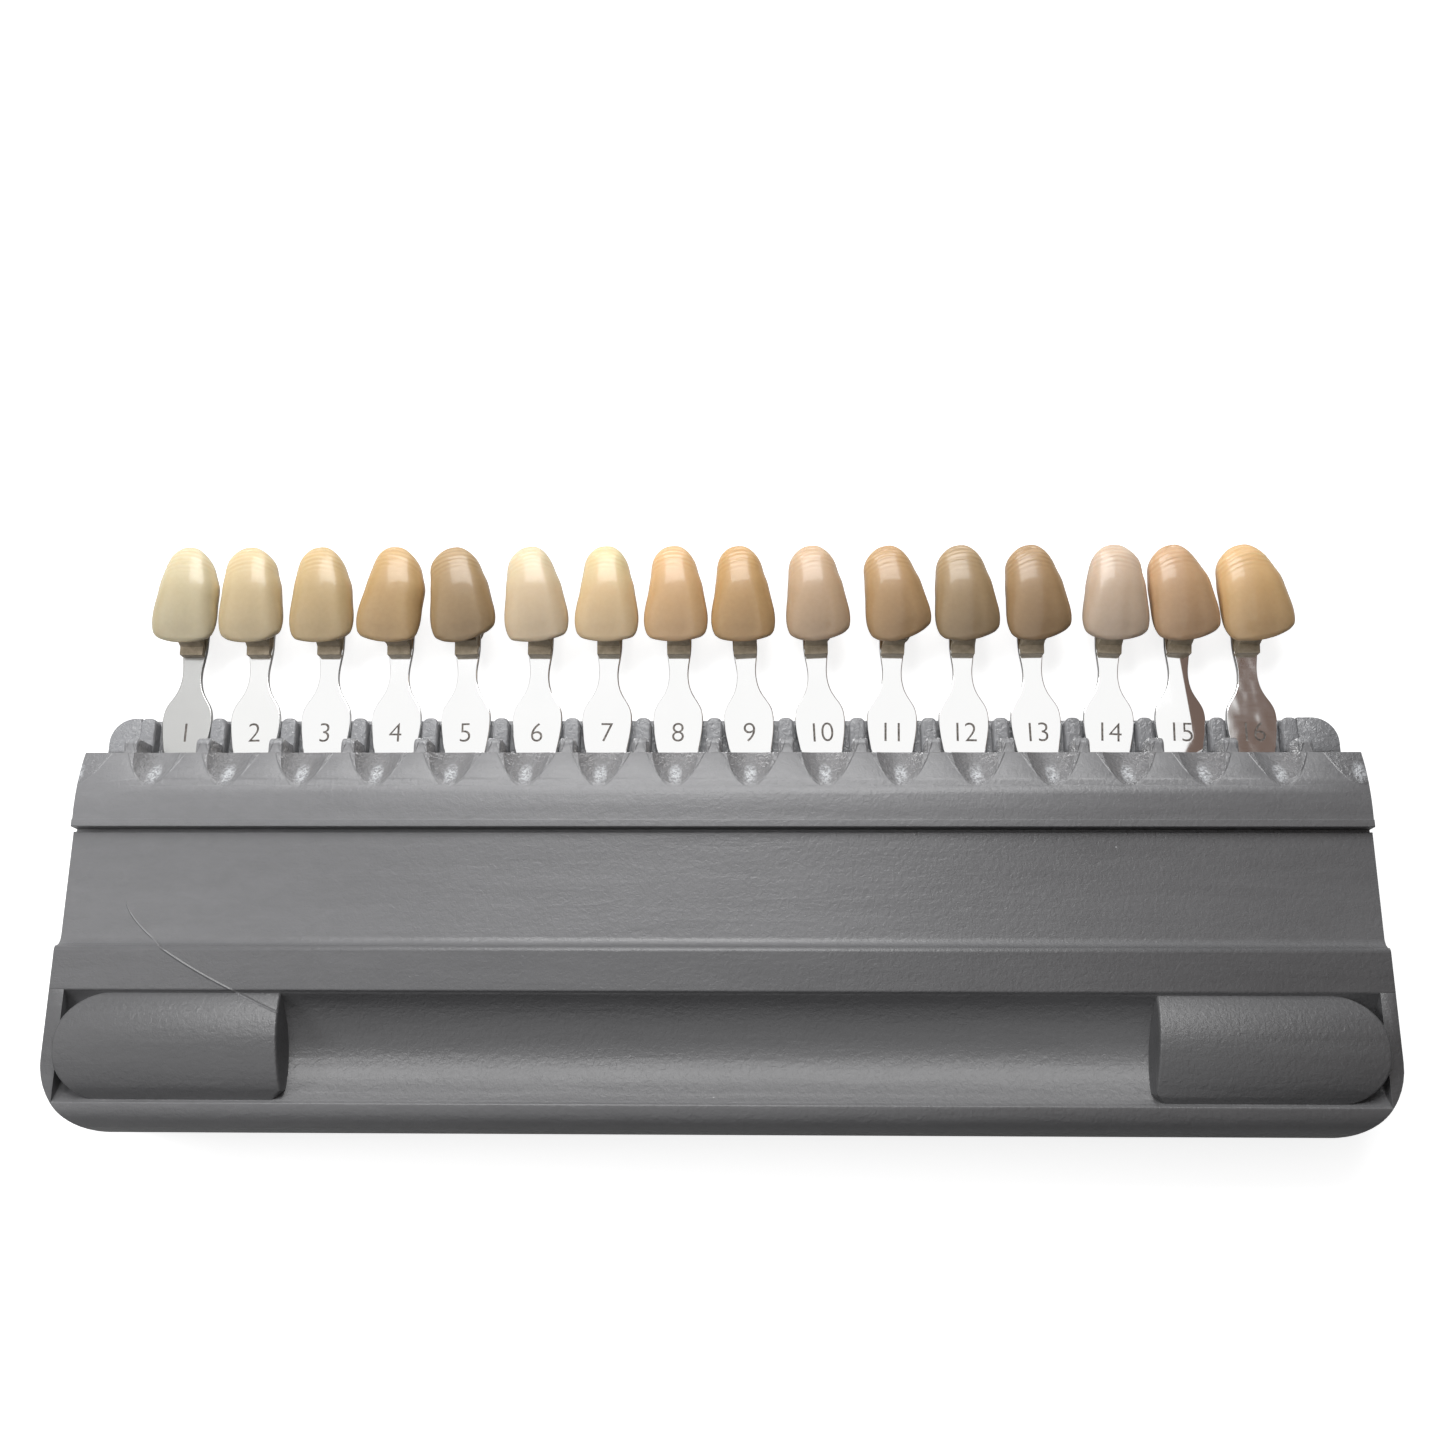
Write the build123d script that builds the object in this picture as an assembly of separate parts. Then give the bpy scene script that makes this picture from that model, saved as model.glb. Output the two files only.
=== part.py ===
"""Dental shade guide: a grey moulded holder that carries a row of removable shade tabs.

The holder lies on its flat back. +X runs along its length, +Y runs up the tabs and
+Z points out of its face. The origin is the middle of the flat back. All sizes are in mm.
"""
from build123d import *
import os
from math import cos, pi, radians, sin, tan

# Comb of tabs, which sits a little off the middle
tab_count = 16
tab_pitch = 10.86
end_margin = 5.62
comb_offset = -0.7

# Heights of the bands up the face, from the bottom edge
bottom_band_height = 3.95
trough_height = 15.15
band_height = 6.1
panel_height = 16.4
lip_gap_height = 0.5
lip_height = 11.4
rear_wall_rise = 7.4

# Depths of the face, measured from the flat back
panel_depth = 13.3
band_depth = 15.3
lip_top_depth = 12.3
lip_face_depth = 14.4
lip_bulge = 0.75
lip_gap_bottom_depth = 12.2
bead_height = 1.1
bead_proud = 0.25
bead_round = 0.15
trough_sag = 3.6
pad_rise = 1.9
bottom_edge_depth = 11.6
bottom_bulge_depth = 14.4
bottom_bulge_share = 0.27
crease_depth = 0.45
step_fillet = 1.5
step_hollow_share = 0.3
step_crown_share = 0.6
edge_round = 0.4
cut_margin = 1.0

# Plan outline of the holder
side_draft_deg = 4.5
bottom_corner_radius = 9.8
lip_corner_radius = 1.2
rear_corner_radius = 3.9

# Thumb pads at both ends of the trough
pad_length = 31.5
pad_edge_margin = 2.1
pad_corner_radius = 6.6
pad_groove = 0.35
pad_edge_drop = 0.5
pad_end_slant_deg = 12.0
pad_base_share = 0.5

# Scoops in the lip, one in front of each tab
scoop_radius = 4.1
scoop_reach = 5.3
scoop_slope_deg = 37.0

# Walls and hollow of the front shell
shell_wall = 1.8
seat_ledge = 1.2
cover_thickness = 2.0
cover_clearance = 0.1
land_slope_deg = 12.5

# Slots for the tabs and the posts between them
slot_width = 8.2
slot_height = 1.5
slot_reach = 10.6
tall_post_width = 2.4
tall_post_depth = 4.1
tall_post_round = 0.95
short_post_width = 2.2
short_post_front = 9.3
short_post_rise = 3.1
end_block_depth = 3.8

# Pegs that hold the cover to the shell
peg_radius = 1.5
peg_clearance = 0.05
peg_boss_wall = 1.4
peg_boss_height = 3.5
peg_end_gap = 0.4
peg_columns = 3
peg_span = 140.0
upper_peg_height = 33.5
lower_peg_height = 11.0

# Metal handle of a tab, lengths from its hidden end
slide_clearance = 0.3
handle_thickness = 0.8
handle_tail_width = 5.2
handle_tail_end_at = 7.0
handle_mouth_width = 6.1
handle_mouth_at = 12.0
handle_widest = 7.6
handle_widest_at = 17.4
handle_shoulder_width = 7.0
handle_shoulder_at = 19.45
handle_throat_width = 4.3
handle_throat_at = 21.8
handle_neck_width = 2.96
handle_neck_at = 25.4
handle_head_width = 3.8
handle_head_at = 29.7
handle_length = 37.5
tail_corner_radius = 2.0

# Tooth of a tab, lengths from its biting edge
tooth_edge_at = 29.05
tooth_length = 15.4
tooth_width = 9.8
tooth_back_gap = 1.25
tooth_thickness = 4.5
tooth_squareness = 2.5
tooth_side_share = 0.38
tooth_section_points = 8

# Sections up the tooth: share of its length, of its width, and of its
# thickness at the back and at the front
tooth_stations = [(0.0, 0.46, 0.34, 0.60), (0.04, 0.70, 0.27, 0.72), (0.12, 0.92, 0.16, 0.85),
                  (0.28, 1.0, 0.03, 0.97), (0.46, 0.94, 0.0, 1.0), (0.66, 0.82, 0.0, 1.0),
                  (0.83, 0.69, 0.06, 0.93), (0.94, 0.50, 0.2, 0.8), (1.0, 0.22, 0.38, 0.62)]

# Backing that bonds the tooth to the handle
backing_foot_width = 3.5
backing_root_width = 4.0
backing_pad_width = 6.4
backing_pad_low = 0.9
backing_pad_high = 10.8
backing_foot_drop = 1.3
backing_rear = 0.9
backing_foot_front = 1.3

# How each hand-set tab sits: its place across its slot, its lean in degrees
# anticlockwise, the same for its tooth, and the tooth's place across its handle
tab_set = [0.05, -0.1, -0.1, -0.05, -0.1, -0.1, -0.25, -0.15,
           0.1, 0.05, -0.2, -0.1, 0.15, -0.05, 0, 0.1]
tab_lean_deg = [-0.5, 0.5, 0, 0, 1.2, -0.5, -0.6, 0, 3, 2.6, -1.4, -0.8, 1.1, -3, -2, 0]
tooth_roll_deg = [-1.4, 3.2, 2.8, -4.2, 9.5, 6.4, 0.9, 2.1,
                  3.9, 5, 8.7, 4.8, 5.8, -1.6, 9, 11]
tooth_shift = [-0.78, -1.02, -1.09, -1.13, -0.8, -0.81, -0.38, -0.51,
               -0.12, 0.35, 0.11, 0.19, 0.73, 0.46, -0.06, 0.62]

# Worked-out places on the holder
comb_length = tab_count * tab_pitch
face_width = comb_length + 2 * end_margin
body_height = (bottom_band_height + trough_height + band_height + panel_height
               + lip_gap_height + lip_height + rear_wall_rise)
bottom_y = -body_height / 2
trough_low_y = bottom_y + bottom_band_height
trough_top_y = trough_low_y + trough_height
panel_low_y = trough_top_y + band_height
panel_top_y = panel_low_y + panel_height
lip_low_y = panel_top_y + lip_gap_height
lip_top_y = lip_low_y + lip_height
wall_top_y = lip_top_y + rear_wall_rise
trough_mid_y = (trough_low_y + trough_top_y) / 2
slot_front_z = cover_thickness + slot_height
land_rear_y = lip_top_y + (lip_top_depth - slot_front_z) * tan(radians(land_slope_deg))
slot_floor_y = lip_top_y - slot_reach
full_depth = band_depth + pad_rise + cut_margin
front_half = face_width / 2
draft_run = band_depth * tan(radians(side_draft_deg))
rear_half = front_half + draft_run

# Worked-out places on a tab
handle_back_z = cover_thickness + slide_clearance
handle_front_z = handle_back_z + handle_thickness
tail_y = slot_floor_y + slide_clearance
mouth_y = land_rear_y
tooth_edge_y = tail_y + tooth_edge_at
tooth_back_z = handle_front_z + tooth_back_gap


def half_width_at(z):
    """Half the holder's length at a depth, with its drafted ends."""
    return rear_half - z * tan(radians(side_draft_deg))


def plan_outline(half, low_y, top_y, low_radius, top_radius):
    """Plan face of the holder with two rounded low corners and two top ones."""
    with BuildSketch() as sketch:
        with BuildLine():
            Polyline((-half, top_y), (-half, low_y), (half, low_y), (half, top_y), close=True)
        make_face()
        corners = sketch.vertices()
        fillet(corners.filter_by(lambda v: v.Y < (low_y + top_y) / 2), low_radius)
        fillet(sketch.vertices().filter_by(lambda v: v.Y > top_y - top_radius / 2), top_radius)
    return sketch.sketch


def drafted_block(inset, low_y, top_y, top_radius, depth):
    """Block on the holder's plan outline, set in all round, wider at its back."""
    low = low_y + inset
    radius = bottom_corner_radius - inset
    rear = plan_outline(half_width_at(0) - inset, low, top_y, radius, top_radius)
    front = plan_outline(half_width_at(depth) - inset, low, top_y, radius, top_radius)
    return loft([rear, Pos(0, 0, depth) * front])


def extrude_along_x(outline, width, centre=0.0):
    """Extrude a face drawn in height and depth over a width about a place on X."""
    face = Plane.YZ * outline
    return Pos(centre - width / 2, 0, 0) * extrude(face, amount=width, dir=(1, 0, 0))


def face_profile():
    """Section of the front shell: lip, gap, panel, step, band, trough and bottom band."""
    bead_z = lip_face_depth + bead_proud
    bead_y = lip_low_y + bead_height
    lip_mid = ((lip_top_y + bead_y) / 2, (lip_top_depth + lip_face_depth) / 2 + lip_bulge)
    crease_y = panel_low_y
    step_top_y = crease_y + step_fillet
    band_top = (crease_y - step_fillet * step_crown_share, band_depth)
    with BuildSketch() as sketch:
        with BuildLine():
            Polyline((bottom_y, 0), (land_rear_y, 0), (land_rear_y, slot_front_z),
                     (lip_top_y, lip_top_depth))
            ThreePointArc((lip_top_y, lip_top_depth), lip_mid, (bead_y, lip_face_depth))
            Polyline((bead_y, lip_face_depth), (bead_y, bead_z), (lip_low_y, bead_z),
                     (lip_low_y, lip_gap_bottom_depth), (panel_top_y, lip_gap_bottom_depth),
                     (panel_top_y, panel_depth), (step_top_y, panel_depth))
            rise = band_depth - panel_depth - crease_depth
            ThreePointArc((step_top_y, panel_depth),
                          (crease_y + step_fillet * step_hollow_share,
                           panel_depth + rise * step_hollow_share),
                          (crease_y, panel_depth + rise))
            ThreePointArc((crease_y, panel_depth + rise),
                          (crease_y - step_fillet * step_crown_share * step_hollow_share,
                           band_depth - crease_depth * step_hollow_share),
                          band_top)
            Line(band_top, (trough_top_y, band_depth))
            ThreePointArc((trough_top_y, band_depth), (trough_mid_y, band_depth - trough_sag),
                          (trough_low_y, band_depth))
            ThreePointArc((trough_low_y, band_depth),
                          (bottom_y + bottom_band_height * bottom_bulge_share,
                           bottom_bulge_depth),
                          (bottom_y, bottom_edge_depth))
            Line((bottom_y, bottom_edge_depth), (bottom_y, 0))
        make_face()
    return sketch.sketch


def face_block():
    """The face's section run along the holder, with its sharp long edges softened."""
    bead_z = lip_face_depth + bead_proud
    rounds = {edge_round: [(lip_top_y, lip_top_depth), (trough_top_y, band_depth),
                           (trough_low_y, band_depth), (bottom_y, bottom_edge_depth)],
              bead_round: [(lip_low_y + bead_height, bead_z), (lip_low_y, bead_z),
                           (panel_top_y, panel_depth)]}
    block = extrude_along_x(face_profile(), 2 * (rear_half + cut_margin))
    for radius, spots in rounds.items():
        long_edges = block.edges().filter_by(Axis.X)
        block = fillet([long_edges.sort_by_distance((0, *spot))[0] for spot in spots], radius)
    return block


def hollow_profile():
    """Section of the hollow behind the face, one wall thinner than the face."""
    low_z = band_depth - trough_sag - shell_wall
    lip_z = slot_front_z + shell_wall
    lip_hollow_top = lip_top_y - shell_wall - edge_round
    scoop_low_y = lip_top_y - scoop_reach
    scooped = (lip_hollow_top - scoop_low_y) * tan(radians(scoop_slope_deg))
    lip_high_z = lip_face_depth - scooped - shell_wall
    floor_y = slot_floor_y - shell_wall
    points = [(bottom_y + shell_wall + seat_ledge, 0), (floor_y, 0), (floor_y, lip_z),
              (lip_hollow_top, lip_z), (lip_hollow_top, lip_high_z),
              (scoop_low_y, panel_depth - shell_wall), (panel_low_y + step_fillet,
              panel_depth - shell_wall), (trough_top_y, low_z),
              (bottom_y + shell_wall + seat_ledge, low_z)]
    with BuildSketch() as sketch:
        with BuildLine():
            Polyline(*points, close=True)
        make_face()
    return sketch.sketch


def thumb_pad(side):
    """Crowned thumb pad with a round outer end and a slanted inner end."""
    outer_x = half_width_at(band_depth) - pad_edge_margin
    low_y = trough_low_y + pad_groove
    top_y = trough_top_y - pad_groove
    edge_z = band_depth - pad_edge_drop
    base_z = band_depth - trough_sag - shell_wall * pad_base_share
    with BuildSketch() as crown:
        with BuildLine():
            ThreePointArc((low_y, edge_z), (trough_mid_y, band_depth + pad_rise),
                          (top_y, edge_z))
            Polyline((top_y, edge_z), (top_y, base_z), (low_y, base_z), (low_y, edge_z))
        make_face()
    centre = outer_x - pad_length / 2
    crowned = extrude_along_x(crown.sketch, pad_length + 2 * cut_margin, centre)
    lean = tan(radians(pad_end_slant_deg)) * (band_depth + pad_rise - base_z)
    with BuildSketch() as plan:
        with BuildLine():
            inner_x = outer_x - pad_length
            Polyline((outer_x, low_y), (outer_x, top_y), (inner_x + lean, top_y),
                     (inner_x, low_y + lean), (inner_x + lean, low_y), close=True)
        make_face()
        fillet(plan.vertices().filter_by(lambda v: v.X > outer_x - cut_margin), pad_corner_radius)
    block = Pos(0, 0, base_z) * extrude(plan.sketch, amount=full_depth - base_z)
    pad = crowned & block
    top = pad.faces().sort_by(lambda f: f.center().Z)[-1]
    pad = fillet(top.edges(), edge_round)
    return pad if side > 0 else mirror(pad, about=Plane.YZ)


def trough_end_fill(side):
    """Solid rim between the end of the trough and the end of the holder."""
    inner_x = half_width_at(band_depth) - pad_edge_margin
    outer_x = rear_half + cut_margin
    with BuildSketch() as plan:
        with BuildLine():
            Polyline((0, trough_low_y), (outer_x, trough_low_y), (outer_x, trough_top_y),
                     (0, trough_top_y), close=True)
        make_face()
        with BuildLine():
            Polyline((0, trough_low_y), (inner_x, trough_low_y), (inner_x, trough_top_y),
                     (0, trough_top_y), close=True)
        make_face(mode=Mode.SUBTRACT)
    fill = extrude(plan.sketch, amount=band_depth)
    return fill if side > 0 else mirror(fill, about=Plane.YZ)


def scoop(x):
    """Round cutter that scoops the lip in front of one tab."""
    slope = radians(scoop_slope_deg)
    low_y = lip_top_y - scoop_reach
    along = (low_y - lip_low_y) / (lip_top_y - lip_low_y)
    low_z = lip_face_depth + (lip_top_depth - lip_face_depth) * along + lip_bulge
    centre = (x, low_y + scoop_radius * sin(slope), low_z + scoop_radius * cos(slope))
    axis = Plane(origin=centre, x_dir=(1, 0, 0), z_dir=(0, cos(slope), -sin(slope)))
    return axis * Cylinder(scoop_radius, 6 * scoop_reach)


def post_places():
    """Places along X of the posts between and beside the tabs."""
    return [comb_offset + (i - tab_count / 2) * tab_pitch for i in range(tab_count + 1)]


def tab_places():
    """Places along X of the tabs."""
    return [x + tab_pitch / 2 for x in post_places()[:-1]]


def peg_places():
    """Places of the pegs in two rows behind the panel and the trough."""
    step = peg_span / (peg_columns - 1)
    columns = [-peg_span / 2 + i * step for i in range(peg_columns)]
    heights = [bottom_y + upper_peg_height, bottom_y + lower_peg_height]
    return [(x, y) for x in columns for y in heights]


def short_post(x):
    """Low rounded post on the lip's land, in front of a tall one."""
    rear_z = tall_post_depth + cover_clearance
    top_y = lip_top_y + short_post_rise
    with BuildSketch() as outline:
        with BuildLine():
            Polyline((lip_top_y - edge_round, rear_z), (top_y, rear_z),
                     (top_y, short_post_front), (lip_top_y - edge_round, short_post_front),
                     close=True)
        make_face()
        fillet(outline.vertices().sort_by_distance((top_y, short_post_front, 0))[0],
               short_post_width / 2)
    post = extrude_along_x(outline.sketch, short_post_width, x)
    rounded = post.edges().filter_by(lambda e: e.center().Y > top_y - short_post_width)
    sides = rounded.filter_by(lambda e: abs(e.center().X - x) > short_post_width / 4)
    return fillet(sides, edge_round)


def tall_post(x):
    """Tall round-topped post that stands against the rear wall."""
    low_y = land_rear_y + cover_clearance
    half = tall_post_width / 2
    with BuildSketch() as outline:
        with BuildLine():
            Polyline((x - half, low_y), (x + half, low_y), (x + half, wall_top_y),
                     (x - half, wall_top_y), close=True)
        make_face()
        fillet(outline.vertices().filter_by(lambda v: v.Y > wall_top_y - half), tall_post_round)
    post = extrude(outline.sketch, amount=tall_post_depth)
    front = post.faces().sort_by(Axis.Z)[-1]
    return fillet(front.edges().filter_by(lambda e: e.center().Y > low_y + half), edge_round)


def peg(x, y):
    """Peg behind the face that reaches into the cover's boss."""
    low_z = cover_thickness / 2 + peg_end_gap
    high_z = band_depth - trough_sag - shell_wall / 2
    if y > panel_low_y:
        high_z = panel_depth - shell_wall / 2
    return Pos(x, y, (low_z + high_z) / 2) * Cylinder(peg_radius, high_z - low_z)


def peg_boss(x, y):
    """Ring on the cover's inner side that takes a peg."""
    height = peg_boss_height + cover_thickness / 2
    outer = peg_radius + peg_clearance + peg_boss_wall
    return Pos(x, y, cover_thickness / 2 + height / 2) * Cylinder(outer, height)


def peg_socket(x, y):
    """Blind bore in the cover for a peg."""
    height = peg_boss_height + cover_thickness
    centre_z = cover_thickness / 2 + height / 2
    return Pos(x, y, centre_z) * Cylinder(peg_radius + peg_clearance, height)


def front_shell():
    """Hollow front moulding with the scooped lip, the slots, the trough and the pads."""
    body = face_block()
    body += [trough_end_fill(side) for side in (-1, 1)]
    outline = drafted_block(0, bottom_y, land_rear_y, lip_corner_radius, full_depth)
    body = body & outline
    body -= [scoop(x) for x in tab_places()]
    inset = shell_wall + seat_ledge
    hollow = extrude_along_x(hollow_profile(), 2 * rear_half)
    hollow = hollow & drafted_block(inset, bottom_y, wall_top_y, edge_round, full_depth)
    body -= hollow
    seat = drafted_block(shell_wall, bottom_y, wall_top_y + shell_wall, edge_round,
                         cover_thickness + cover_clearance)
    body -= seat
    slot_top_y = wall_top_y + cut_margin
    slot = Box(slot_width, slot_top_y - slot_floor_y, 2 * slot_front_z)
    body -= [Pos(x, (slot_top_y + slot_floor_y) / 2, 0) * slot for x in tab_places()]
    body += [short_post(x) for x in post_places()]
    body += [thumb_pad(side) for side in (-1, 1)]
    body += [peg(x, y) for x, y in peg_places()]
    return body


def rear_cover():
    """Flat back plate with the rear wall, its end blocks and the tall posts."""
    inset = shell_wall + cover_clearance
    plate = drafted_block(inset, bottom_y, wall_top_y - rear_corner_radius, edge_round,
                          cover_thickness)
    low_y = land_rear_y + cover_clearance
    wall = drafted_block(0, low_y - bottom_corner_radius, wall_top_y, rear_corner_radius,
                         end_block_depth)
    top_half = Pos(0, low_y + full_depth, 0) * Box(4 * rear_half, 2 * full_depth, 2 * full_depth)
    wall = wall & top_half
    recess = Box(comb_length + tall_post_width, 2 * body_height, end_block_depth)
    wall -= Pos(comb_offset, 0, cover_thickness + end_block_depth / 2) * recess
    cover = plate + wall
    cover += [tall_post(x) for x in post_places()]
    cover += [peg_boss(x, y) for x, y in peg_places()]
    cover -= [peg_socket(x, y) for x, y in peg_places()]
    return cover


def on_tab(shape, index):
    """Move a piece drawn on the middle of the holder to its tab, with the tab's lean."""
    x = tab_places()[index] + tab_set[index]
    return Pos(x, mouth_y, 0) * Rot(0, 0, tab_lean_deg[index]) * Pos(0, -mouth_y, 0) * shape


def on_tooth(shape, index):
    """Move a piece drawn about the tooth's middle to its tab, with the tooth's roll."""
    roll = tooth_roll_deg[index] - tab_lean_deg[index]
    return Pos(tooth_shift[index], tooth_edge_y + tooth_length / 2, 0) * Rot(0, 0, roll) * shape


def handle():
    """Stamped metal handle: tongue, wide body, round shoulders, slim neck, small head."""
    head_half = handle_head_width / 2
    head_y = handle_length - head_half
    tail_half = handle_tail_width / 2
    side = [(tail_half, handle_tail_end_at), (handle_mouth_width / 2, handle_mouth_at),
            (handle_widest / 2, handle_widest_at),
            (handle_shoulder_width / 2, handle_shoulder_at),
            (handle_throat_width / 2, handle_throat_at),
            (handle_neck_width / 2, handle_neck_at), (head_half, handle_head_at)]
    with BuildSketch() as outline:
        with BuildLine():
            Polyline((0, 0), (tail_half, 0), side[0])
            Spline(*side, tangents=[(0, 1), (0, 1)])
            Line(side[-1], (head_half, head_y))
            CenterArc((0, head_y), head_half, 0, 90)
            mirror(about=Plane.YZ)
        make_face()
        tail = outline.vertices().sort_by(Axis.Y).filter_by(lambda v: abs(v.X) > tail_half / 2)
        fillet(tail[:2], tail_corner_radius)
    return Pos(0, tail_y, handle_back_z) * extrude(outline.sketch, amount=handle_thickness)


def tooth_section(share, width_share, back_share, front_share):
    """Rounded cross-section of the tooth at a share of its length."""
    half = tooth_width * width_share / 2
    back = tooth_thickness * back_share
    front = tooth_thickness * front_share
    middle = back + (front - back) * tooth_side_share
    points = []
    for step in range(tooth_section_points):
        angle = 2 * pi * step / tooth_section_points
        reach = abs(cos(angle)) ** (2 / tooth_squareness)
        rise = abs(sin(angle)) ** (2 / tooth_squareness)
        x = half * reach * (1 if cos(angle) > 0 else -1)
        z = middle + (front - middle) * rise if sin(angle) > 0 else middle - (middle - back) * rise
        points.append((x, tooth_length * share, z))
    return Wire([Edge.make_spline(points, periodic=True)])


def tooth_form():
    """Tooth from its thin biting edge up to its round neck, back on the plane Z = 0."""
    return Solid.make_loft([tooth_section(*station) for station in tooth_stations])


def tooth(index):
    """Tooth of one tab, rolled and shifted as it was bonded."""
    form = Pos(0, -tooth_length / 2, tooth_back_z) * tooth_form()
    return on_tab(on_tooth(form, index), index)


def backing_plan(index):
    """Front view of the backing: a foot on the handle and a pad behind the tooth."""
    foot, root, pad = backing_foot_width / 2, backing_root_width / 2, backing_pad_width / 2
    foot_y = tooth_edge_y - backing_foot_drop
    root_y = tooth_edge_y + backing_pad_low + pad
    with BuildSketch() as plan:
        with BuildLine():
            Polyline((-foot, foot_y), (foot, foot_y), (root, root_y), (-root, root_y), close=True)
        make_face()
    with BuildSketch() as behind:
        SlotCenterToCenter(backing_pad_high - backing_pad_low - backing_pad_width,
                           backing_pad_width, rotation=90)
    middle = (backing_pad_low + backing_pad_high - tooth_length) / 2
    return plan.sketch + on_tooth(Pos(0, middle, 0) * behind.sketch, index)


def backing(index):
    """Bonding piece between the handle's head and the tooth, with a foot below the tooth."""
    foot_y = tooth_edge_y - backing_foot_drop
    pad_y = tooth_edge_y + backing_pad_low
    top_y = tooth_edge_y + backing_pad_high + backing_pad_low
    front_z = tooth_back_z + tooth_thickness / 2
    foot_z = handle_front_z + backing_foot_front
    rear_z = handle_back_z - backing_rear
    with BuildSketch() as side:
        with BuildLine():
            Polyline((foot_y, handle_back_z), (foot_y, foot_z), (tooth_edge_y, foot_z),
                     (pad_y, front_z), (top_y, front_z), (top_y, rear_z),
                     (pad_y, rear_z), (tooth_edge_y, handle_back_z), close=True)
        make_face()
    lug = extrude_along_x(side.sketch, 2 * backing_pad_width) & extrude(
        backing_plan(index), amount=full_depth)
    lug = on_tab(lug, index)
    lug -= on_tab(handle(), index)
    lug -= tooth(index)
    return max(lug.solids(), key=lambda solid: solid.volume)


def write(shape, name):
    """Write one piece as one STEP file."""
    export_step(shape, f"parts/{name}.step")


os.makedirs("parts", exist_ok=True)
write(front_shell(), "front_shell")
write(rear_cover(), "rear_cover")
for tab in range(tab_count):
    write(on_tab(handle(), tab), f"tab_{tab + 1:02d}_handle")
    write(backing(tab), f"tab_{tab + 1:02d}_backing")
    write(tooth(tab), f"tab_{tab + 1:02d}_tooth")
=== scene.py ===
"""Looks of a dental shade guide: a grey moulded holder with a row of pull-out shade tabs.

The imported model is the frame: +X runs along the holder, +Y up the tabs and +Z out of the
face, with the origin at the middle of the flat back. Blender works in metres here.
"""

import logging
import math
from dataclasses import dataclass, field
from enum import Enum
from typing import Iterable

import bmesh
import bpy
from mathutils import Euler, Matrix, Vector

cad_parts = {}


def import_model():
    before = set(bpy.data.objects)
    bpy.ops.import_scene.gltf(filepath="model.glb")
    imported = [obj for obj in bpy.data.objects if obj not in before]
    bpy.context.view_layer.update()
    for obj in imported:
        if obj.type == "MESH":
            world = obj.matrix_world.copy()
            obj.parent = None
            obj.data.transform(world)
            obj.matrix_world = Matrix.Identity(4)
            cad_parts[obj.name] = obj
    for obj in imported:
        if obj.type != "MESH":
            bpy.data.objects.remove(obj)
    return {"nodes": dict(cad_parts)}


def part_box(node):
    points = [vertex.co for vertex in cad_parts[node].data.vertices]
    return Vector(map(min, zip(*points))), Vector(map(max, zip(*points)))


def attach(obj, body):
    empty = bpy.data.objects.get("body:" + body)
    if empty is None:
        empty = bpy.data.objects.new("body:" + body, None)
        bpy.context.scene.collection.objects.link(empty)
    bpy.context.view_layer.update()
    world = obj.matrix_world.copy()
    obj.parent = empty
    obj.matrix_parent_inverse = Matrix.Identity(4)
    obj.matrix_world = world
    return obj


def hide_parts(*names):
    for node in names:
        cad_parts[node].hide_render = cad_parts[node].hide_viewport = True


LOG = logging.getLogger("shade_guide")
TOOTH_MAP = "tooth_map"
Colour = tuple[float, float, float]

# One millimetre, and the distance at which doubled corners are merged, in metres
MM = 0.001
MERGE_GAP = 1e-7

# Places in the model, in millimetres
TAB_PITCH = 10.86
COMB_OFFSET = -0.7
MOUTH_Y = 25.0
EDGE_Y = 41.8
TOOTH_BACK_Z = 4.35


def srgb(red: float, green: float, blue: float) -> Colour:
    """Linear colour of an eight-bit display colour.

    Args:
        red: Red, from 0 to 255.
        green: Green, from 0 to 255.
        blue: Blue, from 0 to 255.

    Returns:
        The three linear values.
    """
    def linear(value: float) -> float:
        """Linear value of one eight-bit channel."""
        share = value / 255
        return share / 12.92 if share <= 0.04045 else ((share + 0.055) / 1.055) ** 2.4
    return linear(red), linear(green), linear(blue)


def smooth(share: float) -> float:
    """Smooth step of a share that is held between 0 and 1."""
    held = min(max(share, 0.0), 1.0)
    return held * held * (3 - 2 * held)


def blend(stations: Iterable[tuple[float, float]], place: float) -> float:
    """Value at a place along a list of stations, eased between its neighbours.

    Args:
        stations: Pairs of place and value, in rising order of place.
        place: Where the value is wanted.

    Returns:
        The eased value.
    """
    rows = list(stations)
    if place <= rows[0][0]:
        return rows[0][1]
    for index in range(len(rows) - 1):
        (low, low_value), (high, high_value) = rows[index], rows[index + 1]
        if place <= high:
            before = rows[max(index - 1, 0)]
            after = rows[min(index + 2, len(rows) - 1)]
            span = high - low
            share = (place - low) / span
            low_slope = (high_value - before[1]) / (high - before[0]) * span
            high_slope = (after[1] - low_value) / (after[0] - low) * span
            cube, square = share ** 3, share ** 2
            return ((2 * cube - 3 * square + 1) * low_value
                    + (cube - 2 * square + share) * low_slope
                    + (3 * square - 2 * cube) * high_value + (cube - square) * high_slope)
    return rows[-1][1]


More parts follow.
